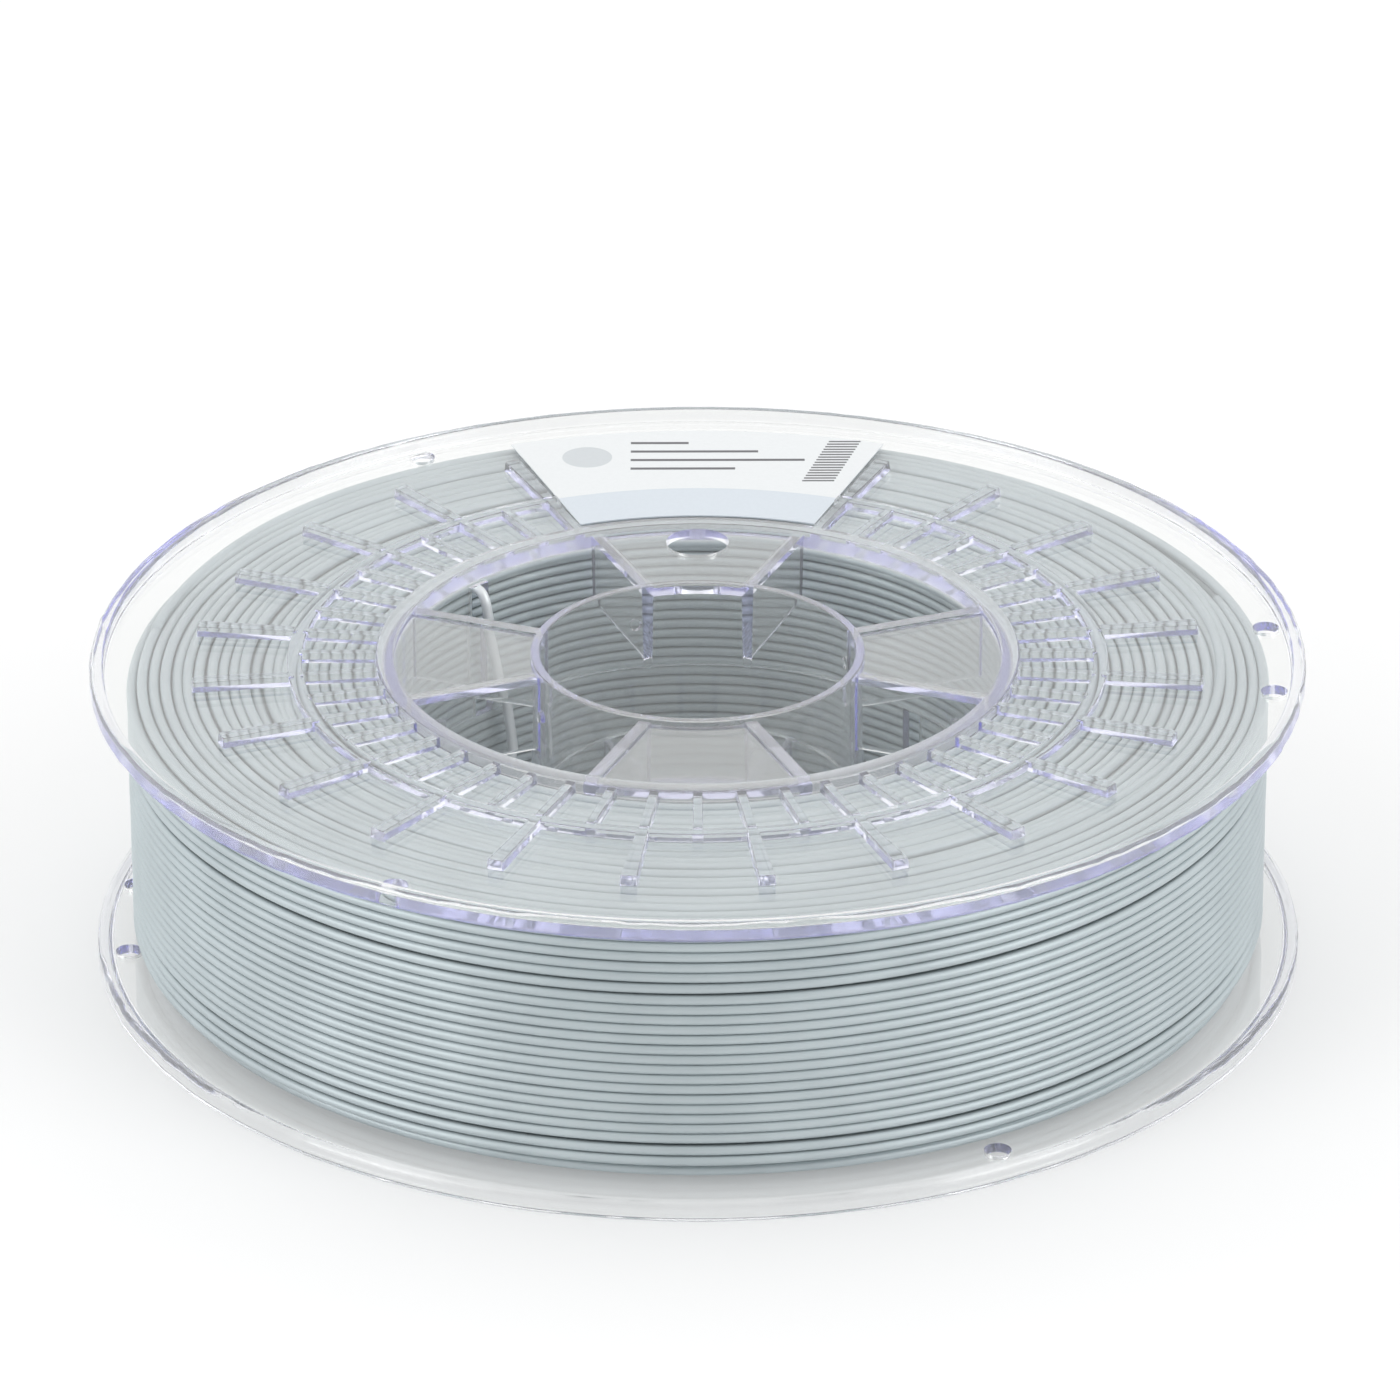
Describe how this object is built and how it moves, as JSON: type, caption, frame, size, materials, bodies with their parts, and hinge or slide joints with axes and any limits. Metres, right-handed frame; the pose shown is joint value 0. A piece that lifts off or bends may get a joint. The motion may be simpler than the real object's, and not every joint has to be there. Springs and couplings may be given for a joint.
{
  "type": "filament spool",
  "caption": "Clear filament spool with ribbed flanges, a windowed hub round a wide bore, a full coil of silver-grey filament and a blank paper label.",
  "frame": {"origin": "on the spool's axis, on the plane that the lower rim stands on", "axes": "+Z along the spool's axis from the lower flange to the upper one, +Y towards the label and the finger hole"},
  "size_m": [0.2, 0.2, 0.0526],
  "materials": {
    "clear_plastic": "clear moulded plastic, polished, with a faint violet tint in its edges",
    "filament": "extruded silver-grey plastic strand with a soft sheen",
    "label_paper": "coated white paper with a pale blue-grey band"
  },
  "bodies": {
    "lower": {"lower_half": "clear_plastic", "filament_core": "filament", "filament_outer_layer": "filament", "filament_start_tail": "filament"},
    "upper": {"upper_half": "clear_plastic", "label": "label_paper"}
  },
  "joints": [
    {"name": "halves_pull_apart", "type": "slide", "parent": "lower", "child": "upper", "axis": [0, 0, 1], "range_m": [0, 0.035]}
  ]
}
